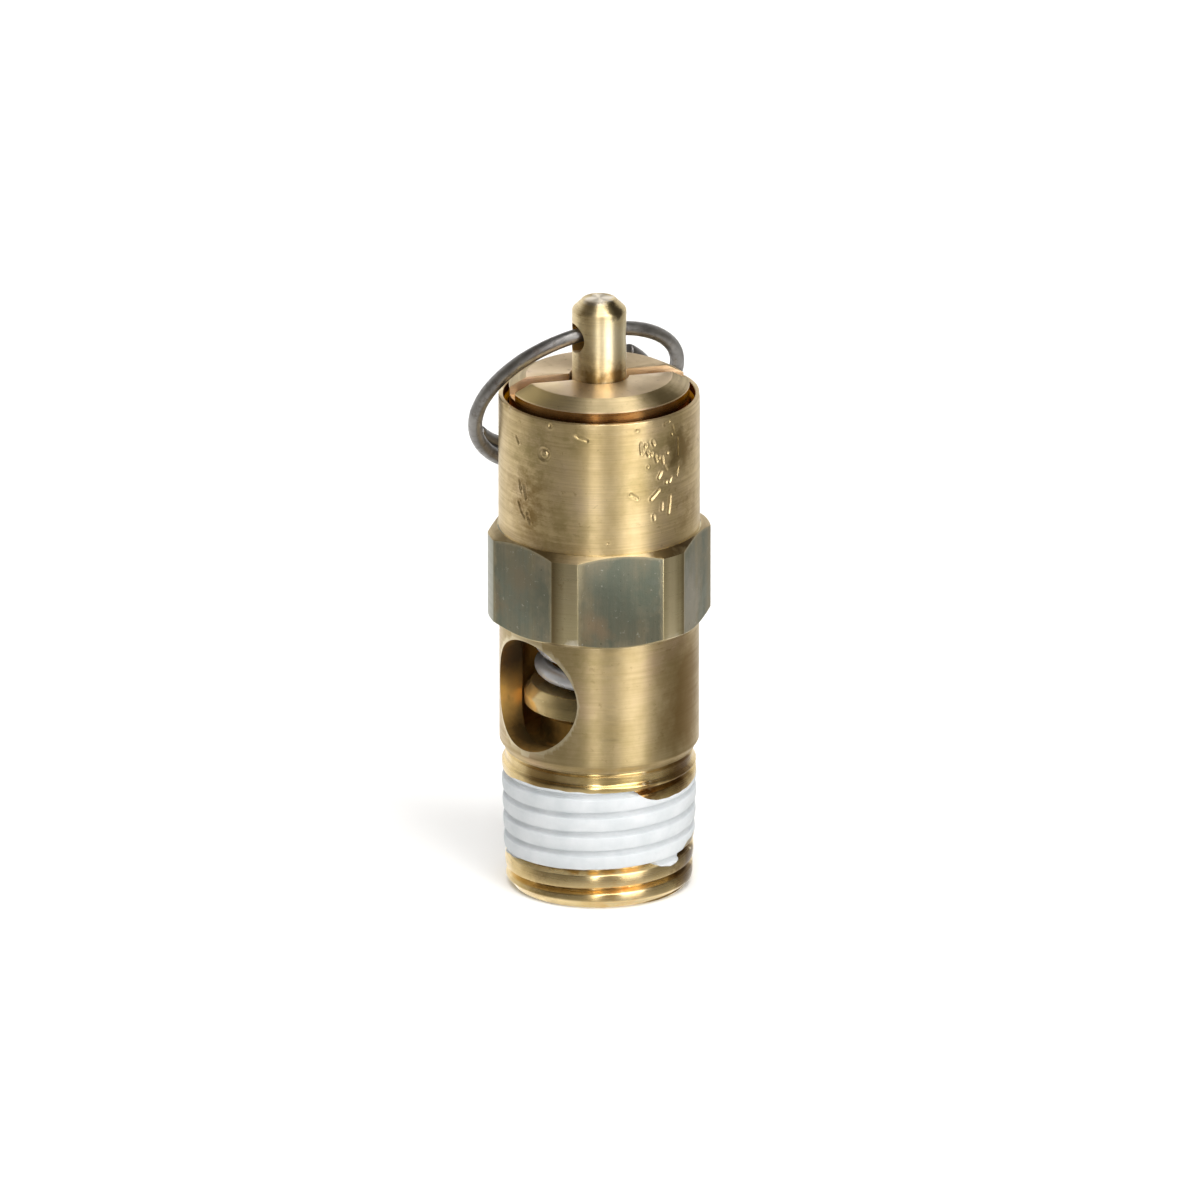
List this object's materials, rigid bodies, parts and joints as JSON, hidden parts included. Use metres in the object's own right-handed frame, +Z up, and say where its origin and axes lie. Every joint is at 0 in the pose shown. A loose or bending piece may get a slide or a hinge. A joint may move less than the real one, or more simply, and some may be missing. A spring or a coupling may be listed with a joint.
{
  "type": "pressure relief valve",
  "caption": "Brass soft-seat air relief valve with hex body, side discharge ports, coated taper inlet thread, slotted adjusting cap, lift stem and wire pull ring.",
  "frame": {"origin": "centre of the threaded inlet's end face", "axes": "+Z up the valve's axis towards the lift stem, -Y and +Y out of the two discharge ports and square to two hex flats, +X to the right when a port faces the viewer"},
  "size_m": [0.018, 0.0173, 0.0427],
  "materials": {
    "turned_brass": "fine-turned, lightly oxidised",
    "stem_brass": "fine-turned, bright",
    "white_sealant": "dried pre-applied thread sealant, satin",
    "spring_steel": "stainless spring wire",
    "ring_steel": "dark drawn steel wire",
    "seal_rubber": "moulded rubber, matte"
  },
  "bodies": {
    "valve": {"valve_body": "turned_brass", "thread_sealant": "white_sealant", "adjusting_cap": "turned_brass", "spring_washer": "spring_steel", "spring": "spring_steel"},
    "poppet": {"disc_holder": "turned_brass", "seal_disc": "seal_rubber", "stem_snap_ring": "spring_steel"},
    "stem": {"lift_stem": "stem_brass"},
    "ring": {"pull_ring": "ring_steel"}
  },
  "joints": [
    {"name": "lift", "type": "slide", "parent": "valve", "child": "poppet", "axis": [0, 0, 1], "range_m": [0, 0.002], "stiffness_N_per_m": 5800, "springref_m": -0.0059, "deforming": ["spring"]},
    {"name": "stem_swivel", "type": "hinge", "parent": "poppet", "child": "stem", "pos_m": [0, 0, 0.0167], "axis": [0, 0, 1], "continuous": true},
    {"name": "ring_swing", "type": "hinge", "parent": "stem", "child": "ring", "pos_m": [0, 0, 0.03995], "axis": [0.3305, 0.9438, 0], "range_deg": [0, 242]}
  ]
}
